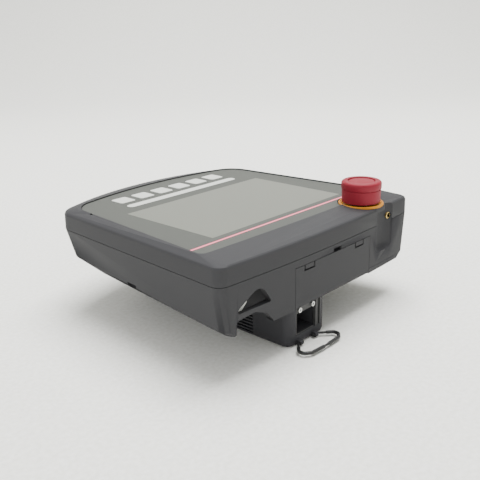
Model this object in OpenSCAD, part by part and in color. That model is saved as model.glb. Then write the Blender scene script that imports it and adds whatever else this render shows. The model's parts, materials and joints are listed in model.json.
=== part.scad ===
// Teach pendant: a two-handed operator panel with a display, six keys, an emergency stop,
// two enabling grips, a service door and a connector pod that it rests on.
// X runs along the display's long side, Y from the service wall to the key edge, Z up.
// The origin lies on the resting face, under the middle of the body.

/* [Body] */
// Length of the body from the service wall to the key edge
body_l = 282; // [270:2:296]
// Width of the body at the service wall
body_w = 292.8; // [286:0.4:300]
// Width of the body at the key edge, measured to the crossing of the side walls
far_w = 261.2; // [256:0.4:268]
// Bow of the service wall's left half
near_bow = 6.2; // [4:0.1:7]
// Bow of the service wall's right half, beside the emergency stop
near_bow_right = 4.7; // [3:0.1:6]
// Radius of the bowed key edge
far_edge_r = 300; // [280:5:400]
// Radius of the corners beside the service wall
near_corner_r = 10; // [6:0.5:12]
// Radius of the corners beside the keys
far_corner_r = 24; // [18:1:32]
// Height of the top face above the resting face
stand_h = 107; // [100:0.5:120]
// Height of the front housing
front_h = 20; // [19:0.5:24]
// Depth of the rear housing at the service wall
rear_h = 48.5; // [46:0.5:54]
// Angle by which the rear housing gets shallower towards the keys
rear_tilt = 2.2; // [1.5:0.1:2.6]
// How far the side walls draw in towards the bottom
side_taper = 6; // [3:0.5:8]
// Thickness of the housing rims at the seam
wall_t = 7; // [6:0.5:8]
// Thickness of floors and inner walls
floor_t = 3; // [2:0.5:4]

/* [Front foil] */
// Distance from the service wall to the foil
foil_near = 33.5; // [30:0.5:36]
// Distance from the foil to the key edge
foil_far = 22.5; // [18:0.5:28]
// Width of the foil beside the service wall
foil_w = 269.6; // [262:0.4:272]
// Width of the foil at its key edge, measured to the crossing of its sides
foil_far_w = 231; // [226:0.5:240]
// Bow of the foil's edge beside the service wall
foil_near_bow = 3; // [2:0.1:4]
// Radius of the foil's bowed key edge
foil_edge_r = 420; // [380:10:500]
// Thickness of the foil
foil_t = 1.2; // [0.8:0.1:1.6]
// Gap between the foil and its recess
foil_gap = 0.8; // [0.4:0.1:1]
// Height by which the housing's rim stands above the foil
rim_h = 1; // [0.6:0.1:1.4]

/* [Display] */
// Width of the visible display
screen_w = 195; // [180:1:200]
// Height of the visible display
screen_h = 122; // [110:1:126]
// Distance from the service wall to the display
screen_near = 61.4; // [58:0.2:66]
// Thickness of the touch glass
glass_t = 4; // [3:0.5:5]
// Border of the display module around the visible display
lcd_border = 6; // [4:0.5:8]
// Thickness of the display module
lcd_t = 6; // [5:0.5:7]

/* [Keys] */
// Width of a key
key_w = 19; // [16:0.5:21]
// Length of a key
key_l = 20; // [16:0.5:22]
// Distance between neighbouring keys
key_pitch = 27; // [25:0.5:28]
// Distance from the display to the row of keys
key_off = 44.2; // [42:0.2:46]
// Travel of a key
key_travel = 0.7; // [0.4:0.1:0.8]
// Height by which a key stands above the foil
key_proud = 0.5; // [0.3:0.1:1]
// Width of the legend strip
legend_w = 160; // [140:1:170]
// Height of the legend strip
legend_l = 10.3; // [8:0.1:12]
// Distance from the display to the legend strip
legend_off = 20.2; // [18:0.2:22]

/* [Emergency stop] */
// Sideways place of the emergency stop
estop_x = 84; // [82:0.5:86]
// Distance from the service wall to the emergency stop
estop_off = 25; // [24:0.1:26]
// Diameter of the red head
head_d = 41.5; // [36:0.5:42]
// Height of the red head
head_h = 19.5; // [18:0.5:24]
// Diameter of the yellow collar
collar_d = 46.5; // [44:0.5:47]
// Height of the yellow collar
collar_h = 2.5; // [2:0.25:3.5]
// Depth of the collar's seat below the top face
seat_drop = 1.8; // [1.6:0.1:3]
// Diameter of the panel hole
panel_hole_d = 22.3; // [22.3:0.1:24]
// Travel of the head when it is pressed
press_travel = 3; // [3:0.5:5]

/* [Service door] */
// Sideways place of the door's middle
door_x = 5.75; // [4:0.25:8]
// Width of the door
door_w = 120.5; // [114:0.5:122]
// Distance from the seam to the door's top edge
door_drop = 7.5; // [7:0.5:9]
// Gap around the door
door_gap = 0.5; // [0.3:0.1:0.7]
// Thickness of the door
door_t = 3.4; // [3:0.2:4]
// Depth of the service compartment
compartment_l = 42; // [36:1:46]
// Diameter of the door's hinge pins
hinge_pin_d = 1.6; // [1.2:0.1:2]
// Sideways distance of each latch from the door's middle
latch_dx = 40.3; // [36:0.1:44]
// Width of a latch
latch_w = 14; // [12:0.5:16]
// Width of the slot around a latch
latch_slot_w = 1.5; // [1:0.1:2]

/* [Grips] */
// Distance from the middle to the inner face of a grip
grip_x = 116; // [114:0.5:118]
// Width of the finger trough beside a grip
trough_w = 42; // [38:1:44]
// Length of the finger trough
trough_l = 200; // [180:2:210]
// Length of an enabling paddle
paddle_l = 100; // [80:2:120]
// Travel of an enabling paddle
paddle_travel = 3; // [2:0.5:3]
// Length of the cut-out below the strap opening
strap_notch_l = 30; // [20:1:36]

/* [Jack scoop] */
// Sideways place of the scoop beside the door
scoop_x = 95; // [94:0.5:96]
// Radius of the scoop
scoop_r = 25.7; // [24:0.1:28]
// Depth of the scoop
scoop_depth = 6; // [5:0.5:6.5]
// Distance from the top face to the scoop's lower end
scoop_l = 50; // [46:1:54]
// Sideways place of the threaded bush in the scoop
bush_x = 106; // [103:0.5:107]
// Distance from the top face to the threaded bush
bush_drop = 15.5; // [13:0.5:16]
// Diameter of the threaded bush
bush_d = 7.2; // [6:0.2:8]
// Length of the threaded bush's flange
bush_flange_l = 2.6; // [2.2:0.1:3]
// Bore of the threaded bush
bush_bore = 3; // [2.5:0.1:3.5]

/* [Pod] */
// Sideways place of the pod's service end
pod_x = -32; // [-34:0.5:-30]
// Width of the pod's service end
pod_end_w = 58; // [56:0.5:62]
// Width of the pod's broad base
pod_w = 122; // [110:1:128]
// Distance from the service wall to the pod
pod_near = 4.4; // [4:0.1:5]
// Distance from the service wall to the broad base
base_near = 80; // [76:1:90]
// Length of the broad base
base_l = 140; // [120:2:146]
// Radius of the pod's upright corners
pod_r = 9; // [6:0.5:12]
// Wall of the pod
pod_t = 3; // [2.5:0.25:4]
// Number of cooling louvres in a row
louvre_n = 6; // [4:1:6]
// Distance between louvres
louvre_pitch = 3.4; // [3.2:0.1:3.6]
// Length of a louvre
louvre_l = 46; // [30:2:50]

/* [Connector bay] */
// Sideways place of the bay's middle in the pod
bay_x = -35; // [-36:0.5:-34]
// Width of the bay
bay_w = 26; // [24:0.5:28]
// Height of the bay
bay_h = 20; // [16:0.5:22]
// Height of the bay's lower edge above the resting face
bay_z = 12; // [11:0.5:14]
// Depth of the bay in front of the connector
bay_depth = 18; // [12:0.5:20]
// Distance between the two bay screws
bay_screw_dx = 19.5; // [18:0.5:21]

/* [Bail] */
// Diameter of the bail's wire
wire_d = 2.4; // [2:0.1:2.6]
// Diameter of the bail's finger bar
bar_d = 3.8; // [3.4:0.1:4]
// Width of the bail at its hinge
bail_in_w = 30; // [28:0.5:32]
// Width of the bail at its finger bar
bail_out_w = 55; // [50:1:58]
// Reach of the bail
bail_reach = 21; // [18:0.5:22]

/* [Fits] */
// Gap between neighbouring pieces
gap = 0.3; // [0.25:0.05:0.35]
// Radial clearance of hinge pins and screws
pin_gap = 0.05; // [0.03:0.01:0.08]

/* [Hidden] */
EPS = 0.01;
$fn = 48;
SIDES = [-1, 1];
KEY_N = 6;

// Levels
y_near = -body_l / 2;
y_far = body_l / 2;
top_z = stand_h;
seam_z = top_z - front_h;
rear_z = seam_z - rear_h;
roof_z = seam_z - 12;
tray_z = roof_z + floor_t;
shelf_z = top_z - foil_t;
plate_z = shelf_z - 2.8;
cavity_z = top_z - 7.5;
rim_z = top_z + rim_h;
gasket_h = 1.4;
shadow_h = 0.5;
shadow_l = 1.2;
service_wall_t = scoop_depth + 3.6;
bow_near_x = body_w / 2 - 21;
bow_far_x = foil_far_w / 2 - 28;

// Radius of an arc from its half chord and its bow, and the arc's rise at x
function bow_r(half, bow) = (half * half + bow * bow) / (2 * bow);
function arc_y(x, r) = r - sqrt(r * r - x * x);

near_r = [bow_r(body_w / 2, near_bow), bow_r(body_w / 2, near_bow_right)];
foil_near_r = bow_r(foil_w / 2, foil_near_bow);

function half_w(y) = body_w / 2 + (far_w - body_w) / 2 * (y - y_near) / body_l;
function near_y(x) = y_near + arc_y(x, near_r[x < 0 ? 0 : 1]);
function bottom_z(y) = rear_z + (y - y_near) * tan(rear_tilt);

// ---- Shared outlines ----

// Four corner circles and two bowed edges. A hull around them is a trapezoid with bowed ends.
// near_rs has the near edge's radius left and right of the middle.
module bowed_parts(w0, w1, y0, y1, r0, r1, near_rs, far_r) {
    yc = y1 - 1.6 * r1;
    x0 = w0 / 2 - r0;
    x1 = w1 / 2 + (w0 - w1) / 2 * (y1 - yc) / (y1 - y0) - r1;
    for (i = [0, 1]) {
        translate([SIDES[i] * x0, y0 + r0 + arc_y(x0, near_rs[i] - r0)]) circle(r0, $fn = 32);
        translate([SIDES[i] * x1, y1 - r1 - arc_y(x1, far_r - r1)]) circle(r1, $fn = 48);
    }
    polygon(concat(
        [for (i = [-8:8]) let (x = i * bow_far_x / 8) [x, y1 - arc_y(x, far_r)]],
        [for (i = [8:-1:-8]) let (x = i * bow_near_x / 8) [x, y0 + arc_y(x, near_rs[i < 0 ? 0 : 1])]]));
}

// The body's outline, drawn in by a distance at the sides, the service wall and the key edge
module body_parts(side = 0, near = 0, far = 0)
    bowed_parts(2 * (half_w(y_near + near) - side), 2 * (half_w(y_far - far) - side),
        y_near + near, y_far - far, near_corner_r, far_corner_r, near_r, far_edge_r);

module foil_parts(grow = 0)
    bowed_parts(foil_w + 2 * grow, foil_far_w + 2 * grow, y_near + foil_near - grow,
        y_far - foil_far + grow, 6 + grow, 27 + grow, [foil_near_r, foil_near_r], foil_edge_r);

module at_level(z) translate([0, 0, z - EPS]) linear_extrude(EPS) children();

// A level that rises towards the keys, turned about the service wall's lower edge
module at_slope(z, angle)
    translate([0, y_near, z]) rotate([angle, 0, 0]) translate([0, -y_near, 0])
        linear_extrude(EPS) children();

module slab(x0, x1, y0, y1, z0, z1)
    translate([x0, y0, z0]) cube([x1 - x0, y1 - y0, z1 - z0]);

module rod_y(x, y0, y1, z, r) translate([x, y0, z]) rotate([-90, 0, 0]) cylinder(r = r, h = y1 - y0);

module rod_x(x0, x1, y, z, r) translate([x0, y, z]) rotate([0, 90, 0]) cylinder(r = r, h = x1 - x0);

// ---- Emergency stop places ----
estop_y = y_near + estop_off;
seat_z = top_z - seat_drop;
collar_top = seat_z + collar_h;
dish_z = seat_z + 0.6;
head_z = collar_top + press_travel + gap;
head_top = head_z + head_h;
barrel_r = panel_hole_d / 2 - 0.1;
stem_r = 5;
block_w = 30;
nut_z = cavity_z + 0.3;

module at_estop() translate([estop_x, estop_y, 0]) children();

// ---- Screw places ----
housing_screw_places = [for (s = SIDES) each
    [[s * 136, y_near + 18], [s * 128, y_near + 128], [s * 116, y_far - 44]]];
chassis_x = screen_w / 2 + lcd_border + 8;
chassis_places = [for (s = SIDES) for (y = [12, 108]) [s * chassis_x, y_near + screen_near + y]];
board_places = [for (s = SIDES) for (y = [14, 106]) [s * 78, y_near + screen_near + y]];
screw_r = 1.5;
boss_r = 6.3;
screw_head_r = 2.8;
screw_head_h = 2.4;

// A screw that points up, with its head's seat at z and its tip above it
module screw_up(z, tip_z) {
    difference() {
        translate([0, 0, z - screw_head_h]) cylinder(r = screw_head_r, h = screw_head_h);
        translate([0, 0, z - screw_head_h - EPS]) cylinder(r = 1.4, h = 1.4, $fn = 6);
    }
    translate([0, 0, z]) cylinder(r = screw_r, h = tip_z - z);
}

// ---- Display places ----
screen_y0 = y_near + screen_near;
screen_y1 = screen_y0 + screen_h;
lcd_z = plate_z - lcd_t;
chassis_t = 1.5;
board_t = 1.6;
board_z = lcd_z - chassis_t - 4 - board_t;
key_row_y = screen_y1 + key_off;
key_board_z = cavity_z + 2.3 - board_t;
key_flange = 1.4;

function key_x(i) = (i - (KEY_N + 1) / 2) * key_pitch;

module rounded_rect(w, l, r) {
    square([w - 2 * r, l], center = true);
    square([w, l - 2 * r], center = true);
    for (sx = SIDES) for (sy = SIDES) translate([sx * (w / 2 - r), sy * (l / 2 - r)]) circle(r);
}

// ---- Service door places ----
door_x0 = door_x - door_w / 2;
door_x1 = door_x + door_w / 2;
door_top = seam_z - door_drop;
hinge_r = door_t / 2;
hinge_y = y_near + 0.9 + hinge_r;
hinge_z = rear_z + gap + hinge_r;
door_in_y = hinge_y + hinge_r;
compartment_y = y_near + compartment_l;
pin_l = 5;

// ---- Paddle places ----
switch_x = grip_x + 10 + paddle_travel;
switch_z = roof_z - 15;

// The right trough starts behind the scoop
function trough_y(side) = near_y(side * grip_x) + (side > 0 ? 13 : 5);

module switch_box(side, clearance) {
    y = trough_y(side) + paddle_l / 2 - 11;
    slab(switch_x - 1 + 11 * clearance, switch_x + 6 - clearance, y + clearance, y + 22 - clearance,
        switch_z + clearance, switch_z + 9 - clearance);
}

// ---- Bush places ----
bush_z = top_z - bush_drop;
bush_shank_r = 2.45;
bush_y = near_y(scoop_x) + scoop_depth - arc_y(bush_x - scoop_x, scoop_r) - 0.6;
bush_end_y = y_near + 14;

// ---- Strap opening ----
strap_x = -105;
strap_bar_z = seam_z - 28;

// Outline of an enabling paddle across its length, for the right hand
module paddle_profile()
    hull() {
        translate([grip_x - 3.2, roof_z - 9.8]) circle(1.8, $fn = 32);
        translate([grip_x + 5, roof_z - 17.5]) circle(1.5, $fn = 32);
        translate([grip_x + 7.5, roof_z - 9.8]) circle(1.8, $fn = 32);
    }

module along_y(y0, y1) translate([0, y1, 0]) rotate([90, 0, 0]) linear_extrude(y1 - y0) children();

// ---- Pod places ----
pod_y = y_near + pod_near;
pod_x0 = pod_x - pod_end_w / 2;
pod_x1 = pod_x + pod_end_w / 2;
base_y = y_near + base_near;
bay_zc = bay_z + bay_h / 2;
frame_x0 = bay_x - bay_w / 2 - 1.5;
frame_x1 = pod_x1 - 9;
frame_t = 2;
bay_back = pod_y + bay_depth;
connector_l = 10;
bay_screw_z = rear_z - 3.2;
pod_screw_tip = bottom_z(base_y) + 9;
pod_screw_seat = 5;
pod_screw_places = [for (s = SIDES) for (y = [14, base_l - 14]) [s * (pod_w / 2 - 9), base_y + y]];

// ---- Bail places ----
wire_r = wire_d / 2;
bail_y = pod_y - 3.2;
bail_z = 3.6;
ear_r = 2.4;

// ---- Housings ----

module front_outer()
    hull() {
        at_level(seam_z + EPS) body_parts();
        at_level(top_z - 5) body_parts(0.4, 0.1, 0.4);
        at_level(top_z - 3) body_parts(1.2, 0.8, 1.2);
        at_level(top_z - 2) body_parts(2.8, 2.2, 2.8);
        at_level(top_z + rim_h) foil_parts(2.2);
    }

// The round pad that carries the collar, cut off by the service wall
module estop_pad()
    intersection() {
        at_estop() translate([0, 0, cavity_z + 1]) cylinder(r = collar_d / 2 + 1.2, h = seat_z - cavity_z - 1);
        slab(-body_w, body_w, near_y(estop_x) + 0.1, 0, 0, top_z);
    }

// The concave scoop beside the door, rounded at its lower end
module scoop_cut() {
    z0 = top_z - scoop_l;
    edge = 6;
    translate([scoop_x, near_y(scoop_x) - scoop_r + scoop_depth, 0])
        rotate_extrude($fn = 96) {
            translate([0, z0]) square([scoop_r - edge, top_z]);
            translate([0, z0 + edge]) square([scoop_r, top_z]);
            translate([scoop_r - edge, z0 + edge]) circle(edge);
        }
}

module gasket_ring(grow = 0)
    translate([0, 0, grow > 0 ? seam_z - 1 : seam_z])
        linear_extrude(grow > 0 ? 1 + gasket_h + grow : gasket_h)
            difference() {
                hull() body_parts(2.6 - grow, scoop_depth + 0.8 - grow, 2.6 - grow);
                hull() body_parts(4.4 + grow, scoop_depth + 2.6 + grow, 4.4 + grow);
            }

module front_housing()
    color([0.33, 0.33, 0.33])
        difference() {
            union() {
                difference() {
                    front_outer();
                    // Hollow for the electronics
                    hull() {
                        at_level(seam_z - 1) body_parts(wall_t, service_wall_t, wall_t);
                        at_level(cavity_z) body_parts(wall_t + 2, service_wall_t, wall_t + 2);
                    }
                    // Room for the ring nut
                    at_estop() translate([0, 0, nut_z - 4.5]) cylinder(r = 16, h = 4.5);
                    scoop_cut();
                }
                estop_pad();
                for (p = housing_screw_places)
                    translate([p[0], p[1], seam_z]) cylinder(r = boss_r, h = cavity_z + 1 - seam_z);
            }
            // Recess for the foil, with a pry notch
            translate([0, 0, shelf_z]) linear_extrude(rim_z - shelf_z + 1) hull() foil_parts(foil_gap);
            translate([-foil_far_w / 2 - 6.4, y_far - 74, shelf_z]) cylinder(r = 2.4, h = rim_z - shelf_z + 1);
            // Window, and the pocket for the display module behind it
            slab(-screen_w / 2, screen_w / 2, screen_y0, screen_y1, 0, top_z + 1);
            slab(-screen_w / 2 - lcd_border, screen_w / 2 + lcd_border, screen_y0 - lcd_border,
                screen_y1 + lcd_border, 0, plate_z);
            // Stepped holes for the keys, and the pocket for their board
            for (i = [1:KEY_N])
                translate([key_x(i), key_row_y, 0]) {
                    linear_extrude(top_z) rounded_rect(key_w + 2 * gap, key_l + 2 * gap, 3);
                    linear_extrude(shelf_z - 1.2)
                        rounded_rect(key_w + 2 * (key_flange + gap), key_l + 2 * (key_flange + gap), 3);
                }
            translate([0, key_row_y, cavity_z - EPS])
                linear_extrude(2.3 + EPS) square([(KEY_N - 1) * key_pitch + 32, key_l + 8], center = true);
            // Seat and hole for the emergency stop
            at_estop() {
                translate([0, 0, seat_z]) cylinder(r = collar_d / 2 + 0.2, h = rim_z - seat_z + 1);
                cylinder(r = panel_hole_d / 2, h = top_z);
            }
            rod_y(bush_x, y_near, bush_y + bush_flange_l, bush_z, bush_d / 2);
            rod_y(bush_x, y_near, bush_end_y, bush_z, bush_shank_r + 0.05);
            for (p = concat(housing_screw_places, chassis_places))
                translate([p[0], p[1], 0]) cylinder(r = screw_r + pin_gap, h = cavity_z + 3);
            gasket_ring(0.2);
            // Shadow line at the seam
            translate([0, 0, seam_z - 1])
                linear_extrude(1 + shadow_h)
                    difference() {
                        hull() body_parts(-2, -2, -2);
                        hull() body_parts(shadow_l, shadow_l, shadow_l);
                    }
        }

module rear_outer()
    hull() {
        at_level(seam_z) body_parts();
        at_slope(rear_z + 6, rear_tilt + 0.9) body_parts(side_taper - 0.5, 0, 8);
        at_slope(rear_z, rear_tilt) body_parts(side_taper + 8, 0.6, 45);
    }

// Outline of a finger trough across its length, round at its roof
module trough_profile() {
    r = 12;
    w = trough_w;
    translate([grip_x - w, 0]) square([w, roof_z - r]);
    translate([grip_x - w + r, 0]) square([w - 2 * r, roof_z]);
    for (x = [grip_x - w + r, grip_x - r]) translate([x, roof_z - r]) circle(r);
}

// Strap opening in the service wall's left end: an arch, a bar below it and a notch under the bar
module strap_cut() {
    x = strap_x;
    bar_z = strap_bar_z;
    along_y(y_near - 5, near_y(x) + 8)
        difference() {
            hull() {
                translate([x + 2, bar_z + 4]) circle(12);
                translate([x - 18, bar_z + 2]) circle(3.5);
                translate([x + 14, bar_z + 1]) circle(3.5);
            }
            translate([x - 40, bar_z - 20]) square([80, 20]);
        }
    along_y(y_near - 5, y_near + strap_notch_l)
        hull() {
            translate([x - 3, bar_z - 11]) circle(7);
            translate([x + 8, bar_z - 16]) circle(8);
            translate([x - 23.5, bar_z - 50]) square([45, 30]);
            translate([x - 20, bar_z - 9]) circle(3.5);
        }
}

module rear_housing()
    color([0.3, 0.3, 0.3])
        difference() {
            union() {
                difference() {
                    rear_outer();
                    // Tray for the electronics
                    hull() {
                        at_level(tray_z + EPS) body_parts(wall_t + 1, service_wall_t, wall_t + 4);
                        at_level(seam_z + 1) body_parts(wall_t, service_wall_t, wall_t);
                    }
                }
                for (p = housing_screw_places)
                    translate([p[0], p[1], tray_z - 1]) cylinder(r = boss_r, h = seam_z - tray_z + 1);
            }
            // Well for the battery
            slab(-48, 48, compartment_y + 4, base_y + base_l - 8, bottom_z(base_y + base_l) + 4, seam_z);
            // Finger troughs
            strap_cut();
            for (s = SIDES)
                mirror([s < 0 ? 1 : 0, 0, 0]) {
                    along_y(trough_y(s), y_near + 9 + trough_l) trough_profile();
                    // Pocket of the enabling paddle, with room for its travel, and its switch
                    along_y(trough_y(s), trough_y(s) + paddle_l + 2 * gap)
                        polygon([for (p = [[-6, -7.6], [9.7, -7.6], [9.7, -11.5], [5.5, -20], [2.4, -20]])
                            [grip_x + p[0] + (p[0] > 4 ? paddle_travel : 0), roof_z + p[1]]]);
                    switch_box(s, 0);
                    // Notch in the lower edge
                    slab(grip_x + 14, body_w, y_near + 130, y_near + 144, 0, bottom_z(y_near + 137) + 11);
                }
            // Service compartment, its door opening and the door's bores
            slab(door_x0 + 2, door_x1 - 2, y_near - 5, compartment_y, hinge_z + hinge_r + 1, roof_z - 1.5);
            slab(door_x0 - door_gap, door_x1 + door_gap, y_near - 5, door_in_y + gap, hinge_z, door_top + door_gap);
            slab(door_x0 - door_gap, door_x1 + door_gap, y_near - 5, door_in_y + gap, 0, hinge_z + EPS);
            rod_x(door_x0 - pin_l - 1, door_x1 + pin_l + 1, hinge_y, hinge_z, hinge_pin_d / 2 + pin_gap);
            // Pry notch above the door
            slab(door_x - 3.5, door_x + 8.5, y_near - 5, y_near + 4, door_top, door_top + 4);
            scoop_cut();
            // Holes for the housing screws
            for (p = housing_screw_places)
                translate([p[0], p[1], 0]) {
                    cylinder(r = screw_head_r + 0.5, h = tray_z);
                    cylinder(r = screw_r + pin_gap, h = seam_z + 1);
                }
            for (p = pod_screw_places)
                translate([p[0], p[1], 0]) cylinder(r = screw_r + pin_gap, h = pod_screw_tip);
            // Room behind the door's latches
            for (s = SIDES)
                slab(door_x + s * latch_dx - latch_w / 2 - 1, door_x + s * latch_dx + latch_w / 2 + 1,
                    y_near, door_in_y + latch_t + gap, door_top - 12, door_top + door_gap);
        }

module housing_gasket()
    color([0.12, 0.12, 0.12]) gasket_ring();

module housing_screws()
    color([0.6, 0.6, 0.62])
        for (p = housing_screw_places)
            translate([p[0], p[1], 0]) screw_up(tray_z, cavity_z + 2);

// ---- Front face ----

module front_foil()
    color([0.55, 0.56, 0.53])
        difference() {
            translate([0, 0, shelf_z]) linear_extrude(foil_t) hull() foil_parts();
            slab(-screen_w / 2, screen_w / 2, screen_y0, screen_y1, 0, top_z + 1);
            for (i = [1:KEY_N])
                translate([key_x(i), key_row_y, 0])
                    linear_extrude(top_z + 1) rounded_rect(key_w + 2 * gap, key_l + 2 * gap, 3);
            at_estop() cylinder(r = collar_d / 2 + 1.4, h = top_z + 1);
            translate([0, screen_y1 + legend_off, top_z - 0.5])
                linear_extrude(1) rounded_rect(legend_w, legend_l, legend_l / 2 - EPS);
        }

module legend_strip()
    color([0.86, 0.86, 0.83])
        translate([0, screen_y1 + legend_off, top_z - 0.5])
            linear_extrude(0.6) rounded_rect(legend_w - 0.1, legend_l - 0.1, legend_l / 2 - 0.1);

module display_glass()
    color([0.65, 0.66, 0.62])
        slab(-screen_w / 2 + 0.1, screen_w / 2 - 0.1, screen_y0 + 0.1, screen_y1 - 0.1, plate_z, plate_z + glass_t);

module display_module()
    color([0.5, 0.5, 0.52])
        slab(-screen_w / 2 - lcd_border + 0.2, screen_w / 2 + lcd_border - 0.2, screen_y0 - lcd_border + 0.2,
            screen_y1 + lcd_border - 0.2, lcd_z, plate_z);

module key(i)
    color([0.87, 0.87, 0.84])
        translate([key_x(i), key_row_y, 0]) {
            translate([0, 0, shelf_z - 2.6])
                linear_extrude(top_z + key_proud - shelf_z + 2.6) rounded_rect(key_w, key_l, 2.7);
            translate([0, 0, shelf_z - 2.6])
                linear_extrude(1.1) rounded_rect(key_w + 2 * key_flange, key_l + 2 * key_flange, 2.7);
        }

module key_board()
    color([0.1, 0.35, 0.2])
        translate([0, key_row_y, key_board_z]) {
            linear_extrude(board_t) square([(KEY_N - 1) * key_pitch + 31, key_l + 7], center = true);
            // Snap domes
            for (i = [1:KEY_N]) translate([key_x(i), 0, board_t]) cylinder(r = 4, h = 0.3);
        }

// ---- Inside the body ----

module chassis_plate()
    color([0.7, 0.7, 0.72])
        difference() {
            union() {
                slab(-chassis_x - 6, chassis_x + 6, screen_y0 + 2, screen_y1 - 2, lcd_z - chassis_t, lcd_z);
                for (p = chassis_places)
                    translate([p[0], p[1], lcd_z]) cylinder(r = 4, h = cavity_z - lcd_z);
                for (p = board_places)
                    translate([p[0], p[1], board_z + board_t])
                        cylinder(r = 3, h = lcd_z - chassis_t - board_z - board_t);
            }
            for (p = chassis_places)
                translate([p[0], p[1], 0]) cylinder(r = screw_r + pin_gap, h = top_z);
            for (p = board_places)
                translate([p[0], p[1], 0]) cylinder(r = screw_r + pin_gap, h = lcd_z - 0.6);
        }

module chassis_screws()
    color([0.75, 0.75, 0.76]) {
        for (p = chassis_places)
            translate([p[0], p[1], 0]) screw_up(lcd_z - chassis_t, cavity_z + 2.5);
        for (p = board_places)
            translate([p[0], p[1], 0]) screw_up(board_z, lcd_z - chassis_t);
    }

module main_board()
    color([0.1, 0.35, 0.2]) {
        difference() {
            slab(-86, 86, screen_y0 + 6, screen_y1 - 6, board_z, board_z + board_t);
            for (p = board_places)
                translate([p[0], p[1], 0]) cylinder(r = screw_r + pin_gap, h = top_z);
        }
        // Connectors and chips on its lower face
        for (y = [30, 52, 74]) slab(62, 74, screen_y0 + y, screen_y0 + y + 16, board_z - 6, board_z);
        for (y = [32, 70]) slab(-70, -52, screen_y0 + y, screen_y0 + y + 18, board_z - 2, board_z);
    }

// Finned cooler that hangs under the processor
module heat_sink()
    color([0.3, 0.3, 0.32]) {
        slab(-25, 25, screen_y0 + 35, screen_y0 + 85, board_z - 2, board_z);
        for (i = [0:9]) slab(-25 + i * 5.3, -22.7 + i * 5.3, screen_y0 + 35, screen_y0 + 85, board_z - 7, board_z - 2);
    }

module buffer_battery()
    color([0.15, 0.15, 0.17])
        translate([0, base_y + base_l / 2, bottom_z(base_y + base_l) + 4])
            linear_extrude(17) rounded_rect(84, 56, 6);

// ---- Emergency stop ----

// Red head: slightly conical, round shoulder, sunk top disc and a parting groove
module estop_head()
    color([0.66, 0.16, 0.19])
        at_estop()
            difference() {
                rotate_extrude($fn = 96) {
                    r = head_d / 2;
                    edge = 3;
                    groove = head_top - 8.5;
                    polygon([[0, head_z], [r - 1.6, head_z], [r - 0.8, head_z + 0.8], [r - 0.3, groove],
                        [r - 0.9, groove + 0.2], [r - 0.9, groove + 0.6], [r, groove + 0.9],
                        [r, head_top - edge], [r - edge, head_top - edge], [r - edge, head_top],
                        [r - 7, head_top], [r - 7.2, head_top - 0.7], [0, head_top - 0.7]]);
                    translate([r - edge, head_top - edge]) circle(edge);
                }
                cylinder(r = stem_r + pin_gap, h = head_z + 12);
            }

module estop_plunger()
    color([0.2, 0.2, 0.2])
        at_estop() {
            translate([0, 0, seat_z - 19]) cylinder(r = stem_r, h = head_z + 11.7 - seat_z + 19);
        }

module estop_collar()
    color([0.88, 0.67, 0.2])
        at_estop()
            difference() {
                rotate_extrude($fn = 96)
                    polygon([[barrel_r + 0.1, seat_z], [collar_d / 2, seat_z], [collar_d / 2, collar_top - 1],
                        [collar_d / 2 - 1, collar_top], [collar_d / 2 - 2.4, collar_top],
                        [collar_d / 2 - 2.8, dish_z], [barrel_r + 0.1, dish_z]]);
            }

module estop_nut()
    color([0.2, 0.2, 0.2])
        at_estop()
            difference() {
                translate([0, 0, nut_z - 3]) cylinder(r = 15.5, h = 3, $fn = 6);
                cylinder(r = barrel_r + 0.1, h = top_z);
            }

module estop_contact_block()
    color([0.18, 0.18, 0.18])
        at_estop()
            difference() {
                union() {
                    cylinder_between(barrel_r, nut_z - 4, dish_z);
                    slab(-block_w / 2, block_w / 2, 4 - block_w / 2, block_w / 2, tray_z + 0.3, nut_z - 3);
                }
                cylinder_between(stem_r + pin_gap, seat_z - 24, top_z);
            }

module cylinder_between(r, z0, z1) translate([0, 0, z0]) cylinder(r = r, h = z1 - z0);

module threaded_bush()
    color([0.8, 0.66, 0.35])
        difference() {
            union() {
                rod_y(bush_x, bush_y, bush_y + bush_flange_l, bush_z, bush_d / 2 - 0.05);
                rod_y(bush_x, bush_y + 1, bush_end_y, bush_z, bush_shank_r);
            }
            rod_y(bush_x, bush_y - 1, bush_end_y - 4, bush_z, bush_bore / 2);
        }

// ---- Service compartment ----

latch_t = 1.6;

// A U-shaped slot in the door's upper edge frees the face of each snap tongue
module latch_slot(x) {
    w = latch_slot_w;
    l = door_in_y - y_near + 2;
    translate([x, y_near - 2, door_top]) {
        for (s = SIDES) translate([s * latch_w / 2 - w / 2, 0, -5]) cube([w, l, 6]);
        translate([-latch_w / 2 - w / 2, 0, -5 - w / 2]) cube([latch_w + w, l, w]);
    }
}

module service_door()
    color([0.31, 0.31, 0.31])
        union() {
            difference() {
                union() {
                    intersection() {
                        rear_outer();
                        slab(door_x0, door_x1, y_near - 1, door_in_y, hinge_z, door_top);
                    }
                    rod_x(door_x0, door_x1, hinge_y, hinge_z, hinge_pin_d / 2 + 0.5);
                }
                for (s = SIDES) latch_slot(door_x + s * latch_dx);
                rod_x(door_x0 - 1, door_x0 + 8, hinge_y, hinge_z, hinge_pin_d / 2);
                rod_x(door_x1 - 8, door_x1 + 1, hinge_y, hinge_z, hinge_pin_d / 2);
            }
            // Springs of the tongues
            for (s = SIDES)
                translate([door_x + s * latch_dx, 0, 0])
                    slab(-latch_w / 2 + 1, latch_w / 2 - 1, door_in_y - 1, door_in_y + latch_t,
                        door_top - 11.5, door_top - 0.6);
        }

module door_hinge_pins()
    color([0.7, 0.7, 0.72]) {
        rod_x(door_x0 - pin_l, door_x0 + 8, hinge_y, hinge_z, hinge_pin_d / 2);
        rod_x(door_x1 - 8, door_x1 + pin_l, hinge_y, hinge_z, hinge_pin_d / 2);
    }

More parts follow.
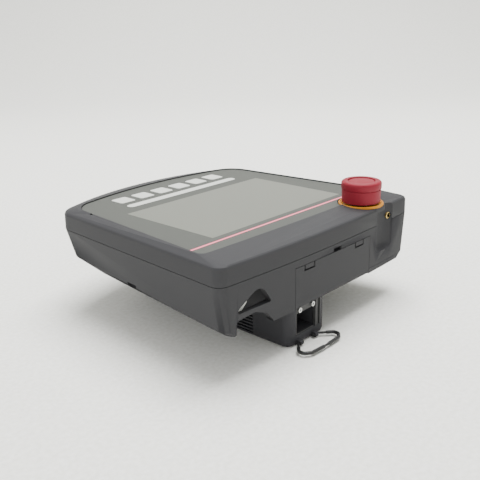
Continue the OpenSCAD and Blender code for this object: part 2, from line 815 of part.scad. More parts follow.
service_board_y = compartment_y - 3;
service_z0 = hinge_z + hinge_r + 1;

module service_board()
    color([0.1, 0.35, 0.2])
        slab(door_x - 50, door_x + 50, service_board_y, compartment_y, service_z0, roof_z - 2.5);

module terminal_block()
    color([0.25, 0.45, 0.3])
        difference() {
            slab(door_x - 44, door_x + 2, service_board_y - 12, service_board_y, service_z0 + 5, service_z0 + 17);
            for (i = [0:7])
                rod_y(door_x - 40.5 + i * 5.6, service_board_y - 13, service_board_y - 4, service_z0 + 8.5, 1.6);
        }

module network_socket()
    color([0.75, 0.75, 0.76])
        difference() {
            slab(door_x + 16, door_x + 32, service_board_y - 16, service_board_y, service_z0 + 4, service_z0 + 18);
            slab(door_x + 18.2, door_x + 29.8, service_board_y - 17, service_board_y - 5,
                service_z0 + 7, service_z0 + 14);
            slab(door_x + 21.2, door_x + 26.8, service_board_y - 17, service_board_y - 5,
                service_z0 + 13, service_z0 + 16);
        }

// ---- Enabling devices ----

module enabling_paddle(side)
    color([0.8, 0.8, 0.8])
        along_y(trough_y(side) + gap, trough_y(side) + gap + paddle_l) paddle_profile();

module enabling_paddle_right() enabling_paddle(1);

module enabling_paddle_left() mirror([1, 0, 0]) enabling_paddle(-1);

module enabling_switch_right() color([0.15, 0.15, 0.15]) switch_box(1, 0.1);

module enabling_switch_left() color([0.15, 0.15, 0.15]) mirror([1, 0, 0]) switch_box(-1, 0.1);

// ---- Pod ----

// A box with round upright corners whose lower edges are rounded in steps
module soft_box(x0, x1, y0, y1, z1)
    hull()
        for (level = [[0, 4], [0.5, 2.4], [1.5, 1.1], [4.5, 0], [z1, 0]])
            for (x = [x0 + pod_r, x1 - pod_r]) for (y = [y0 + pod_r, y1 - pod_r])
                translate([x, y, level[0]]) cylinder(r = pod_r - level[1], h = EPS, $fn = 32);

module pod_louvres(x0, x1, y0)
    for (i = [0:louvre_n - 1])
        slab(x0, x1, y0, y0 + louvre_l, 3.6 + i * louvre_pitch, 5.4 + i * louvre_pitch);

module connector_pod()
    color([0.22, 0.22, 0.22])
        difference() {
            union() {
                soft_box(pod_x0, pod_x1, pod_y, base_y + 20, rear_z + 12);
                soft_box(-pod_w / 2, pod_w / 2, base_y, base_y + base_l, rear_z + 16);
                // Ears for the bail
                for (s = SIDES) {
                    x = bay_x + s * (bail_in_w / 2 - wire_r - gap - 2);
                    rod_x(x - 2, x + 2, bail_y, bail_z, ear_r);
                    slab(x - 2, x + 2, bail_y, pod_y + 6, bail_z - ear_r, bail_z + ear_r);
                }
            }
            // The housing's sloping lower face closes the pod
            translate([0, y_near, rear_z]) rotate([rear_tilt, 0, 0])
                translate([-body_w, -20, 0]) cube([2 * body_w, 2 * body_l, 60]);
            // Hollow, with posts for the screws
            difference() {
                union() {
                    slab(pod_x0 + pod_t, pod_x1 - pod_t, bay_back + connector_l + pod_t, base_y + 10, pod_t, top_z);
                    slab(-pod_w / 2 + pod_t, pod_w / 2 - pod_t, base_y + pod_t, base_y + base_l - pod_t,
                        pod_t, top_z);
                }
                for (p = pod_screw_places) translate([p[0], p[1], 0]) cylinder(r = 5.5, h = top_z);
            }
            pod_louvres(-pod_w / 2 - 1, -pod_w / 2 + pod_t + 1, y_near + 48);
            pod_louvres(pod_w / 2 - pod_t - 1, pod_w / 2 + 1, base_y + 14);
            // Bay, with a step for its frame
            slab(frame_x0, frame_x1, pod_y - 5, pod_y + frame_t, bay_z - 1.5, top_z);
            slab(bay_x - bay_w / 2, bay_x + bay_w / 2, pod_y - 5, bay_back + connector_l, bay_z, bay_z + bay_h);
            for (s = SIDES)
                rod_y(bay_x + s * bay_screw_dx / 2, pod_y - 1, pod_y + 10, bay_screw_z, screw_r + pin_gap);
            rod_x(bay_x - bail_in_w, bay_x + bail_in_w, bail_y, bail_z, wire_r + pin_gap);
            for (p = pod_screw_places)
                translate([p[0], p[1], -1]) {
                    cylinder(r = screw_head_r + 0.5, h = pod_screw_seat + 1);
                    cylinder(r = screw_r + pin_gap, h = top_z);
                }
        }

module pod_screws()
    color([0.6, 0.6, 0.62])
        for (p = pod_screw_places)
            translate([p[0], p[1], 0]) screw_up(pod_screw_seat, pod_screw_tip - 0.5);

// Black frame around the bay, with two guide ribs beside the opening
module bay_frame()
    color([0.1, 0.1, 0.1])
        difference() {
            union() {
                slab(frame_x0 + 0.1, frame_x1 - 0.1, pod_y + 0.4, pod_y + frame_t, bay_z - 1.4, rear_z - 0.4);
                for (x = [bay_x + bay_w / 2 + 1.2, frame_x1 - 2.2])
                    slab(x, x + 1.4, pod_y - 0.8, pod_y + 1, bay_z - 1.4, rear_z - 0.4);
            }
            slab(bay_x - bay_w / 2 + EPS, bay_x + bay_w / 2, pod_y - 5, bay_back, bay_z, bay_z + bay_h);
            for (s = SIDES)
                rod_y(bay_x + s * bay_screw_dx / 2, pod_y - 1, pod_y + 10, bay_screw_z, screw_r + pin_gap);
        }

module bay_connector()
    color([0.08, 0.08, 0.08])
        difference() {
            slab(bay_x - bay_w / 2 + 0.1, bay_x + bay_w / 2 - 0.1, bay_back, bay_back + connector_l,
                bay_z + 0.1, bay_z + bay_h - 0.1);
            for (i = [0:4]) for (j = [0:2])
                rod_y(bay_x + (i - 2) * 4, bay_back - 1, bay_back + 6, bay_zc + (j - 1) * 4.5, 1.1);
        }

module bay_screws()
    color([0.85, 0.85, 0.85])
        for (s = SIDES)
            translate([bay_x + s * bay_screw_dx / 2, pod_y + 0.4, bay_screw_z])
                rotate([-90, 0, 0])
                    difference() {
                        union() {
                            translate([0, 0, -1.8]) cylinder(r1 = 2, r2 = 2.5, h = 1.8);
                            cylinder(r = screw_r, h = 8);
                        }
                        translate([0, 0, -2]) cylinder(r = 1, h = 1.2, $fn = 6);
                    }

// Wire bail that swings up over the bay. Its ends turn inwards as hinge pins.
module wire_bail()
    color([0.05, 0.05, 0.05])
        translate([bay_x, bail_y, bail_z]) {
            w0 = bail_in_w / 2;
            w1 = bail_out_w / 2;
            path = [[w0, 0], [w1, -bail_reach * 0.48], [w1, -bail_reach * 0.74], [w1 - 6, -bail_reach]];
            for (s = SIDES) {
                for (i = [0:2])
                    hull() for (p = [path[i], path[i + 1]])
                        translate([s * p[0], p[1], 0]) sphere(r = wire_r, $fn = 18);
                rod_x(min(s * w0, s * (w0 - 7)), max(s * w0, s * (w0 - 7)), 0, 0, wire_r);
                rod_x(min(s * (w1 - 8), s * 3.5), max(s * (w1 - 8), s * 3.5), -bail_reach, 0, bar_d / 2);
            }
            rod_x(6 - w1, w1 - 6, -bail_reach, 0, wire_r);
        }

front_housing();
rear_housing();
housing_gasket();
housing_screws();
front_foil();
legend_strip();
display_glass();
display_module();
chassis_plate();
chassis_screws();
main_board();
heat_sink();
key_board();
buffer_battery();
for (i = [1:KEY_N]) key(i);
estop_head();
estop_plunger();
estop_collar();
estop_nut();
estop_contact_block();
threaded_bush();
service_door();
door_hinge_pins();
service_board();
terminal_block();
network_socket();
enabling_paddle_left();
enabling_paddle_right();
enabling_switch_left();
enabling_switch_right();
connector_pod();
pod_screws();
bay_frame();
bay_connector();
bay_screws();
wire_bail();
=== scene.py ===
# %% [markdown]
# # A hand-held teach pendant
# The part arrives as a frame of exact solids, one mesh for each sub-part. This lesson dresses that frame:
# it softens the moulded edges, turns the pieces that are round, and gives each finish its own material.
# Everything is in metres in the part's own frame: +Z is up through the display, +Y points to the keys.

# %% Load the frame
import json
import math
import bmesh
import bpy
from mathutils import Matrix, Vector


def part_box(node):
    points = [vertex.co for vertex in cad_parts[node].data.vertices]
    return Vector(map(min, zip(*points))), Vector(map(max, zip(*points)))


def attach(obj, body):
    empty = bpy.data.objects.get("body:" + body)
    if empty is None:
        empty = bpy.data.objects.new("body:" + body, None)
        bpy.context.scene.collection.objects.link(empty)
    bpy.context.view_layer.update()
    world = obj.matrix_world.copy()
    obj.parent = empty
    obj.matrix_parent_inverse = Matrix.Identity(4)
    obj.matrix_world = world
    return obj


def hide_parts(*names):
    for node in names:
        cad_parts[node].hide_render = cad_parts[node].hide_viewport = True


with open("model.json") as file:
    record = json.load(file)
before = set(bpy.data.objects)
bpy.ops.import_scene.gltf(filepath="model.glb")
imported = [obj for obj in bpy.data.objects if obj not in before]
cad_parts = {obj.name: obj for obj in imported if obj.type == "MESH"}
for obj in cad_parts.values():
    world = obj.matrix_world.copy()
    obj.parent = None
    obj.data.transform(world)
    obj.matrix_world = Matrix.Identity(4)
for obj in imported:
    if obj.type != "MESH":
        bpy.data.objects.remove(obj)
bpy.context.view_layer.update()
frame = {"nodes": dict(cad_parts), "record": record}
MM = 0.001
MERGE_DISTANCE = 2e-6

# %% [markdown]
# The record says which body each sub-part rides on and which finish it has.
# Two small dictionaries keep that close at hand.

# %% Bodies and finishes
RECORD = frame["record"]
BODY_OF = {node: body for body, nodes in RECORD["behaviour"]["bodies"].items() for node in nodes}
SLOT_OF = {entry["node"]: entry["material_slot"] for entry in RECORD["subparts"]}
print("finishes:", sorted(set(SLOT_OF.values())))

# %% [markdown]
# ## Camera
# A product camera with a normal lens looks down on the near left corner. The lens is 51.6 mm on a
# 36 mm sensor. The direction is built from a turn about Z, a tilt and a slight roll.

# %% Camera
CAMERA_PLACE = Vector((-0.5053, -0.4965, 0.3007))
CAMERA_TURN = math.radians(46.755)
CAMERA_TILT = math.radians(18.6)
CAMERA_ROLL = math.radians(-1.315)


def camera_axes(turn, tilt, roll):
    right = Vector((math.cos(turn), -math.sin(turn), 0))
    ahead = Vector((math.sin(turn) * math.cos(tilt), math.cos(turn) * math.cos(tilt), -math.sin(tilt)))
    up = right.cross(ahead)
    rolled_right = right * math.cos(roll) + up * math.sin(roll)
    rolled_up = up * math.cos(roll) - right * math.sin(roll)
    return Matrix((rolled_right, rolled_up, -ahead)).transposed()


lens = bpy.data.cameras.new("product_camera")
lens.lens = 51.6
lens.sensor_width = 36
lens.clip_start = 0.01
camera = bpy.data.objects.new("product_camera", lens)
bpy.context.scene.collection.objects.link(camera)
camera.matrix_world = Matrix.Translation(CAMERA_PLACE) @ camera_axes(
    CAMERA_TURN, CAMERA_TILT, CAMERA_ROLL).to_4x4()
bpy.context.scene.camera = camera
print("camera at", tuple(round(v, 3) for v in camera.location))

# %% [markdown]
# ## Studio
# The object stands on a pale sweep that curves up into a backdrop. A wide soft light hangs overhead, a little
# to the right, and a weaker one of the same width stands at the left. The even world fills the shadows, and
# the sweep's own colour gives the pale background.

# %% Colours
def linear(value):
    return value / 12.92 if value <= 0.04045 else ((value + 0.055) / 1.055) ** 2.4


def rgb(red, green, blue):
    """A colour given as 0 to 255 display values, for a shader socket."""
    return (linear(red / 255), linear(green / 255), linear(blue / 255), 1.0)


# %% Node helpers
def new_material(name, base, roughness, metallic=0.0):
    material = bpy.data.materials.new(name)
    material.use_nodes = True
    shader = material.node_tree.nodes["Principled BSDF"]
    shader.inputs["Base Color"].default_value = base
    shader.inputs["Roughness"].default_value = roughness
    shader.inputs["Metallic"].default_value = metallic
    return material, shader


def add_node(tree, kind, **inputs):
    node = tree.nodes.new(kind)
    for name, value in inputs.items():
        node.inputs[name.replace("_", " ")].default_value = value
    return node


def math_node(tree, operation, *operands):
    """The result of a Math node; each operand is a socket or a number."""
    node = tree.nodes.new("ShaderNodeMath")
    node.operation = operation
    for index, value in enumerate(operands):
        if isinstance(value, (int, float)):
            node.inputs[index].default_value = value
        else:
            tree.links.new(value, node.inputs[index])
    return node.outputs[0]


def colour_mix(tree, factor, first, second):
    """The result of a colour Mix node; each colour is a socket or four numbers."""
    node = tree.nodes.new("ShaderNodeMix")
    node.data_type = "RGBA"
    tree.links.new(factor, node.inputs["Factor"])
    for key, value in (("A", first), ("B", second)):
        if isinstance(value, tuple):
            node.inputs[key].default_value = value
        else:
            tree.links.new(value, node.inputs[key])
    return node.outputs["Result"]


# %% Sweep
SWEEP_HALF = 6.0
SWEEP_BACK = 3.2
SWEEP_RISE = 5.0
SWEEP_CURVE = 1.6
SWEEP_STEPS = 24


def sweep_profile():
    """Floor, quarter curve and wall as (distance ahead, height) pairs."""
    points = [(-SWEEP_HALF, 0.0)]
    for step in range(SWEEP_STEPS + 1):
        angle = math.radians(90 * step / SWEEP_STEPS)
        points.append((SWEEP_BACK - SWEEP_CURVE + SWEEP_CURVE * math.sin(angle),
                       SWEEP_CURVE - SWEEP_CURVE * math.cos(angle)))
    points.append((SWEEP_BACK, SWEEP_RISE))
    return points


ahead = Vector((math.sin(CAMERA_TURN), math.cos(CAMERA_TURN), 0))
aside = Vector((math.cos(CAMERA_TURN), -math.sin(CAMERA_TURN), 0))
corners = []
for along, height in sweep_profile():
    for side in (-SWEEP_HALF, SWEEP_HALF):
        corners.append(ahead * along + aside * side + Vector((0, 0, height)))
strips = [(2 * i, 2 * i + 1, 2 * i + 3, 2 * i + 2) for i in range(len(corners) // 2 - 1)]
sweep_mesh = bpy.data.meshes.new("studio_sweep")
sweep_mesh.from_pydata([tuple(c) for c in corners], [], strips)
sweep_mesh.shade_smooth()
sweep = bpy.data.objects.new("studio_sweep", sweep_mesh)
bpy.context.scene.collection.objects.link(sweep)
print("sweep strips:", len(strips))

# %% Sweep finish
paper, paper_shader = new_material("backdrop_paper", rgb(246, 246, 240), 0.9)
paper_tree = paper.node_tree
paper_place = paper_tree.nodes.new("ShaderNodeTexCoord")
paper_noise = add_node(paper_tree, "ShaderNodeTexNoise", Scale=240.0, Detail=3.0)
paper_ramp = paper_tree.nodes.new("ShaderNodeValToRGB")
paper_ramp.color_ramp.elements[0].position = 0.3
paper_ramp.color_ramp.elements[0].color = rgb(238, 238, 231)
paper_ramp.color_ramp.elements[1].position = 0.7
paper_ramp.color_ramp.elements[1].color = rgb(253, 253, 248)
paper_tree.links.new(paper_place.outputs["Object"], paper_noise.inputs["Vector"])
paper_tree.links.new(paper_noise.outputs["Fac"], paper_ramp.inputs["Fac"])
paper_tree.links.new(paper_ramp.outputs["Color"], paper_shader.inputs["Base Color"])
sweep_mesh.materials.append(paper)

# %% Lights
LAMP_TARGET = Vector((0, 0, 0.05))
LAMP_WIDTH = 1.8
world = bpy.data.worlds.new("studio_world")
bpy.context.scene.world = world
world.use_nodes = True
world.node_tree.nodes["Background"].inputs["Color"].default_value = (1.0, 1.0, 0.985, 1.0)
world.node_tree.nodes["Background"].inputs["Strength"].default_value = 0.8


def soft_light(name, place, power):
    """A square lamp at `place` that faces the object; power is in watts."""
    data = bpy.data.lights.new(name, "AREA")
    data.shape = "SQUARE"
    data.size = LAMP_WIDTH
    data.energy = power
    lamp = bpy.data.objects.new(name, data)
    lamp.location = place
    lamp.rotation_mode = "QUATERNION"
    lamp.rotation_quaternion = (LAMP_TARGET - Vector(place)).to_track_quat("-Z", "Y")
    bpy.context.scene.collection.objects.link(lamp)
    return lamp


soft_light("overhead_softbox", (0.65, 0.25, 2.45), 158)
soft_light("left_softbox", (-2.5, 0.7, 1.1), 21)

# %% [markdown]
# ## Surface effects
# Moulded plastic is never quite even. A fine grain comes from the tool's spark-eroded skin, and broad,
# faint clouds come from handling. Both are one shader node group, so that each plastic can carry its own
# values.

# %% Moulded skin group
def moulded_skin_group():
    group = bpy.data.node_groups.new("moulded_skin", "ShaderNodeTree")
    socket = group.interface.new_socket
    socket("Color", in_out="INPUT", socket_type="NodeSocketColor")
    for name, value in (("Grain Scale", 2600.0), ("Grain Depth", 0.12),
                        ("Clouding", 0.08), ("Roughness", 0.5)):
        socket(name, in_out="INPUT", socket_type="NodeSocketFloat").default_value = value
    socket("Color", in_out="OUTPUT", socket_type="NodeSocketColor")
    socket("Roughness", in_out="OUTPUT", socket_type="NodeSocketFloat")
    socket("Normal", in_out="OUTPUT", socket_type="NodeSocketVector")
    link = group.links.new
    inside = group.nodes.new("NodeGroupInput")
    outside = group.nodes.new("NodeGroupOutput")
    place = group.nodes.new("ShaderNodeTexCoord")
    grain = add_node(group, "ShaderNodeTexNoise", Detail=2.0, Roughness=0.6)
    clouds = add_node(group, "ShaderNodeTexNoise", Scale=14.0, Detail=4.0, Roughness=0.55)
    link(place.outputs["Object"], grain.inputs["Vector"])
    link(place.outputs["Object"], clouds.inputs["Vector"])
    link(inside.outputs["Grain Scale"], grain.inputs["Scale"])
    # Clouds centred on zero, scaled by the wanted amount
    offset = math_node(group, "SUBTRACT", clouds.outputs["Fac"], 0.5)
    amount = math_node(group, "MULTIPLY", offset, inside.outputs["Clouding"])
    gain = math_node(group, "ADD", amount, 1.0)
    tint = group.nodes.new("ShaderNodeVectorMath")
    tint.operation = "SCALE"
    link(inside.outputs["Color"], tint.inputs[0])
    link(gain, tint.inputs["Scale"])
    link(tint.outputs["Vector"], outside.inputs["Color"])
    link(math_node(group, "ADD", inside.outputs["Roughness"], amount), outside.inputs["Roughness"])
    bump = add_node(group, "ShaderNodeBump", Distance=0.0002)
    link(inside.outputs["Grain Depth"], bump.inputs["Strength"])
    link(grain.outputs["Fac"], bump.inputs["Height"])
    link(bump.outputs["Normal"], outside.inputs["Normal"])
    return group


MOULDED_SKIN = moulded_skin_group()
print("group sockets:", len(MOULDED_SKIN.interface.items_tree))

# %% Plastics
def moulded(name, base, roughness, scale=2600.0, depth=0.12, clouding=0.08, gloss=0.5):
    """A plastic with the moulded skin on it; gloss is its specular level."""
    material, shader = new_material(name, base, roughness)
    shader.inputs["Specular IOR Level"].default_value = gloss
    tree = material.node_tree
    skin = tree.nodes.new("ShaderNodeGroup")
    skin.node_tree = MOULDED_SKIN
    for key, value in (("Color", base), ("Grain Scale", scale), ("Grain Depth", depth),
                       ("Clouding", clouding), ("Roughness", roughness)):
        skin.inputs[key].default_value = value
    tree.links.new(skin.outputs["Color"], shader.inputs["Base Color"])
    tree.links.new(skin.outputs["Roughness"], shader.inputs["Roughness"])
    tree.links.new(skin.outputs["Normal"], shader.inputs["Normal"])
    return material


DARK_GREY = rgb(60, 60, 62)
FINISH = {
    "housing_grey": moulded("housing_grey", DARK_GREY, 0.62, depth=0.2, gloss=0.1),
    "rear_grey": moulded("rear_grey", DARK_GREY, 0.62, depth=0.2, gloss=0.1),
    "pod_grey": moulded("pod_grey", rgb(57, 57, 60), 0.6, depth=0.2, gloss=0.15),
    "foil_grey": moulded("printed_foil", rgb(79, 81, 77), 0.55, scale=3200.0, depth=0.05, gloss=0.12),
    "screen": moulded("screen_film", rgb(113, 115, 107), 0.5,
                      scale=4200.0, depth=0.04, clouding=0.03, gloss=0.15),
    "light_plastic": moulded("light_plastic", rgb(200, 202, 196), 0.5, depth=0.05, clouding=0.03),
    "red_plastic": moulded("signal_red", rgb(134, 31, 46), 0.55, depth=0.05, clouding=0.05, gloss=0.2),
    "yellow_plastic": moulded("signal_yellow", rgb(196, 128, 22), 0.55,
                              depth=0.05, clouding=0.05, gloss=0.25),
    "black_plastic": moulded("black_plastic", rgb(38, 38, 39), 0.5, depth=0.1),
    "terminal_green": moulded("terminal_green", rgb(60, 132, 84), 0.45, depth=0.08),
    "board_green": moulded("board_green", rgb(22, 84, 52), 0.3, scale=900.0, depth=0.03, clouding=0.2),
    "seal": moulded("seal_rubber", rgb(22, 22, 22), 0.75, depth=0.15),
    "wire_black": moulded("wire_black", rgb(24, 24, 25), 0.45, depth=0.08),
}
print("plastics:", len(FINISH))

# %% [markdown]
# Metals reflect with their own colour. Turning and drawing leave fine lines, which a stretched noise
# gives to the roughness.

# %% Metals
LINE_SPREAD = 0.22
BRASS_COLOUR = rgb(206, 178, 112)


def worked_metal(name, base, roughness, stretch=(40.0, 40.0, 2400.0)):
    """A metal whose roughness varies in fine lines; stretch sets their direction."""
    material, shader = new_material(name, base, roughness, metallic=1.0)
    tree = material.node_tree
    place = tree.nodes.new("ShaderNodeTexCoord")
    mapping = add_node(tree, "ShaderNodeMapping", Scale=stretch)
    lines = add_node(tree, "ShaderNodeTexNoise", Scale=1.0, Detail=3.0)
    tree.links.new(place.outputs["Object"], mapping.inputs["Vector"])
    tree.links.new(mapping.outputs["Vector"], lines.inputs["Vector"])
    spread = math_node(tree, "MULTIPLY", lines.outputs["Fac"], LINE_SPREAD)
    level = math_node(tree, "ADD", spread, roughness - LINE_SPREAD / 2)
    tree.links.new(level, shader.inputs["Roughness"])
    return material


FINISH["steel"] = worked_metal("turned_steel", rgb(200, 200, 198), 0.3)
FINISH["sheet_metal"] = worked_metal("sheet_metal", rgb(190, 191, 192), 0.38, (30.0, 1800.0, 30.0))
FINISH["brass"] = worked_metal("turned_brass", BRASS_COLOUR, 0.36)
print("finishes made:", sorted(FINISH))

# %% [markdown]
# ## Moulded pieces
# The frame's meshes are loose triangles with knife edges. A moulded piece has small radii that catch the
# light. Each copy is merged, its flat faces are joined, and a narrow bevel runs along the sharp edges.

# %% Softened copies
FLAT_ANGLE = math.radians(0.6)
SHARP_ANGLE = math.radians(28)


def softened(node, bevel, segments=2):
    """A copy of a CAD piece with merged points and softened edges; bevel is in millimetres."""
    source = frame["nodes"][node]
    mesh = source.data.copy()
    mesh.name = node + "_skin"
    work = bmesh.new()
    work.from_mesh(mesh)
    bmesh.ops.remove_doubles(work, verts=work.verts, dist=MERGE_DISTANCE)
    bmesh.ops.dissolve_limit(work, angle_limit=FLAT_ANGLE, verts=work.verts, edges=work.edges)
    work.to_mesh(mesh)
    work.free()
    piece = bpy.data.objects.new(node + "_skin", mesh)
    bpy.context.scene.collection.objects.link(piece)
    mesh.materials.clear()
    mesh.materials.append(FINISH[SLOT_OF[node]])
    mesh.shade_smooth()
    mesh.set_sharp_from_angle(angle=SHARP_ANGLE)
    edge = piece.modifiers.new("edges", "BEVEL")
    edge.width = bevel * MM
    edge.segments = segments
    edge.limit_method = "ANGLE"
    edge.angle_limit = SHARP_ANGLE
    edge.use_clamp_overlap = True
    edge.harden_normals = True
    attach(piece, BODY_OF[node])
    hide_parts(node)
    return piece


SMALL_BEVEL = 0.15
KEY_BEVEL = 0.55
BEVELS = {"front_housing": 0.5, "rear_housing": 0.4, "service_door": 0.25, "connector_pod": 0.35,
          "front_foil": 0.12, "display_glass": 0.08, "legend_strip": 0.05}
# These are made further down
REMADE = {"estop_head", "estop_collar", "wire_bail", "housing_screws", "pod_screws", "bay_screws",
          "threaded_bush", "front_foil"}
KEY_NODES = ["key_%d" % number for number in range(1, 7)]
for node in sorted(set(frame["nodes"]) - REMADE - set(KEY_NODES)):
    softened(node, BEVELS.get(node, SMALL_BEVEL))
for node in KEY_NODES:
    softened(node, KEY_BEVEL, segments=4)
print("softened pieces:", len(frame["nodes"]) - len(REMADE))

# %% [markdown]
# ## Front foil
# The foil is a satin skin that lies in a recess of the front housing. The red line across it is printed,
# so it is a band in the colour and not a piece: a mask on the object's own Y, with a paler core.

# %% Foil with its printed line
PRINT_Y = -88.8 * MM
PRINT_WIDTH = 3.0 * MM
PRINT_CORE = 1.1 * MM
INK_EDGE = rgb(222, 88, 112)
INK_CORE = rgb(236, 158, 170)
foil_tree = FINISH["foil_grey"].node_tree
foil_shader = foil_tree.nodes["Principled BSDF"]
foil_skin = next(n for n in foil_tree.nodes if n.type == "GROUP")
foil_place = foil_tree.nodes.new("ShaderNodeTexCoord")
foil_axes = foil_tree.nodes.new("ShaderNodeSeparateXYZ")
foil_tree.links.new(foil_place.outputs["Object"], foil_axes.inputs[0])
from_line = math_node(foil_tree, "SUBTRACT", foil_axes.outputs["Y"], PRINT_Y)
distance = math_node(foil_tree, "ABSOLUTE", from_line)
on_line = math_node(foil_tree, "LESS_THAN", distance, PRINT_WIDTH / 2)
in_core = math_node(foil_tree, "LESS_THAN", distance, PRINT_CORE / 2)
ink = colour_mix(foil_tree, in_core, INK_EDGE, INK_CORE)
printed = colour_mix(foil_tree, on_line, foil_skin.outputs["Color"], ink)
foil_tree.links.new(printed, foil_shader.inputs["Base Color"])
softened("front_foil", BEVELS["front_foil"])

# %% [markdown]
# ## Emergency stop
# The mushroom head and its collar are turned shapes, so each is a profile swept once round its axis.
# The head's rim is softly rounded, a fine groove parts its cap from its skirt, and its top disc is sunk.

# %% Turned shapes
CREASE_ANGLE = math.radians(40)


def turned(name, profile, axis_place, direction="Z", steps=96):
    """Sweeps (radius, distance) pairs round an axis; both ends of the profile lie on the axis."""
    work = bmesh.new()
    rings = []
    for radius, along in profile:
        ring = []
        count = 1 if radius == 0 else steps
        for step in range(count):
            angle = 2 * math.pi * step / steps
            flat = (radius * math.cos(angle), radius * math.sin(angle), along)
            if direction == "Y":
                flat = (flat[0], flat[2], flat[1])
            ring.append(work.verts.new([(flat[i] * MM + axis_place[i]) for i in range(3)]))
        rings.append(ring)
    for low, high in zip(rings, rings[1:]):
        for step in range(steps):
            after = (step + 1) % steps
            if len(low) == 1:
                work.faces.new((low[0], high[after], high[step]))
            elif len(high) == 1:
                work.faces.new((low[step], low[after], high[0]))
            else:
                work.faces.new((low[step], low[after], high[after], high[step]))
    bmesh.ops.recalc_face_normals(work, faces=work.faces)
    mesh = bpy.data.meshes.new(name)
    work.to_mesh(mesh)
    work.free()
    mesh.shade_smooth()
    mesh.set_sharp_from_angle(angle=CREASE_ANGLE)
    piece = bpy.data.objects.new(name, mesh)
    bpy.context.scene.collection.objects.link(piece)
    return piece


def dress(piece, node, material):
    """Gives a finished piece its material and its body, and hides the CAD sub-part that it stands for."""
    piece.data.materials.clear()
    piece.data.materials.append(material)
    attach(piece, BODY_OF[node])
    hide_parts(node)
    return piece


def arc(centre, radius, start, end, steps):
    """Points on a quarter or part circle, as (radius, height) pairs."""
    return [(centre[0] + radius * math.cos(math.radians(start + (end - start) * i / steps)),
             centre[1] + radius * math.sin(math.radians(start + (end - start) * i / steps)))
            for i in range(steps + 1)]


# %% Red head
low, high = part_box("estop_head")
HEAD_AXIS = ((low.x + high.x) / 2, (low.y + high.y) / 2, 0)
HEAD_R = (high.x - low.x) / 2 / MM
SKIRT_DROP = 2.4
SKIRT_INNER_R = 17.6
STEM_BORE_R = 5.05
STEM_BORE_DEPTH = 12
DISC_EDGE_R = 14.6
DISC_SINK = 0.7
HEAD_LOW, HEAD_TOP = low.z / MM - SKIRT_DROP, high.z / MM
GROOVE = HEAD_TOP - 8.5
BORE_ROOF = HEAD_LOW + STEM_BORE_DEPTH + SKIRT_DROP
head_profile = [(0, BORE_ROOF), (STEM_BORE_R, BORE_ROOF), (STEM_BORE_R, HEAD_LOW + SKIRT_DROP),
                (SKIRT_INNER_R, HEAD_LOW + SKIRT_DROP), (SKIRT_INNER_R, HEAD_LOW)]
head_profile += arc((HEAD_R - 1.6, HEAD_LOW + 0.7), 0.7, -90, 0, 5)
head_profile += [(HEAD_R - 0.6, GROOVE - 0.4), (HEAD_R - 0.8, GROOVE - 0.15), (HEAD_R - 1.1, GROOVE),
                 (HEAD_R - 1.1, GROOVE + 0.35), (HEAD_R - 0.4, GROOVE + 0.5), (HEAD_R - 0.1, GROOVE + 0.9)]
head_profile += arc((HEAD_R - 2.8, HEAD_TOP - 2.8), 2.8, 0, 90, 12)
head_profile += [(DISC_EDGE_R, HEAD_TOP), (DISC_EDGE_R - 0.3, HEAD_TOP - 0.15),
                 (DISC_EDGE_R - 0.5, HEAD_TOP - 1.5), (DISC_EDGE_R - 1.2, HEAD_TOP - 1.5),
                 (DISC_EDGE_R - 1.5, HEAD_TOP - 0.75), (DISC_EDGE_R - 1.8, HEAD_TOP - DISC_SINK),
                 (0, HEAD_TOP - DISC_SINK)]
dress(turned("red_mushroom_head", head_profile, HEAD_AXIS), "estop_head", FINISH["red_plastic"])
print("head radius:", round(HEAD_R, 2), "mm, top:", round(HEAD_TOP, 1), "mm")

# %% Yellow collar
low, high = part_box("estop_collar")
COLLAR_R = (high.x - low.x) / 2 / MM
COLLAR_LOW, COLLAR_TOP = low.z / MM, high.z / MM
COLLAR_BORE_R = 11.15
collar_profile = [(COLLAR_BORE_R, COLLAR_LOW), (COLLAR_R - 0.2, COLLAR_LOW), (COLLAR_R, COLLAR_LOW + 0.2)]
collar_profile += arc((COLLAR_R - 0.9, COLLAR_TOP - 0.9), 0.9, 0, 90, 6)
collar_profile += [(COLLAR_R - 1.5, COLLAR_TOP), (COLLAR_R - 1.8, COLLAR_TOP - 0.7),
                   (COLLAR_R - 3.1, COLLAR_TOP - 0.9), (COLLAR_R - 3.2, COLLAR_LOW + 0.2),
                   (COLLAR_BORE_R, COLLAR_LOW + 0.2), (COLLAR_BORE_R, COLLAR_LOW)]
dress(turned("yellow_collar", collar_profile, HEAD_AXIS), "estop_collar", FINISH["yellow_plastic"])
print("collar radius:", round(COLLAR_R, 2), "mm")

# %% Brass bush
low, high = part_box("threaded_bush")
BUSH_AXIS = ((low.x + high.x) / 2, 0, (low.z + high.z) / 2)
BUSH_R = (high.x - low.x) / 2 / MM
BUSH_NEAR, BUSH_FAR = low.y / MM, high.y / MM
BUSH_SHANK_R = 2.45
RING_BACK = BUSH_NEAR + 2.6
THREAD_R = 1.5
THREAD_END = BUSH_FAR - 4
bush_profile = [(0, BUSH_FAR), (BUSH_SHANK_R, BUSH_FAR), (BUSH_SHANK_R, RING_BACK), (BUSH_R, RING_BACK),
                (BUSH_R, BUSH_NEAR + 0.4), (BUSH_R - 0.4, BUSH_NEAR), (BUSH_R - 0.9, BUSH_NEAR),
                (BUSH_R - 1.1, BUSH_NEAR + 0.3), (BUSH_R - 1.1, BUSH_NEAR + 1.8), (THREAD_R, BUSH_NEAR + 2.2),
                (THREAD_R, THREAD_END), (0, THREAD_END)]
dress(turned("brass_bush", bush_profile, BUSH_AXIS, "Y", 48), "threaded_bush", FINISH["brass"])
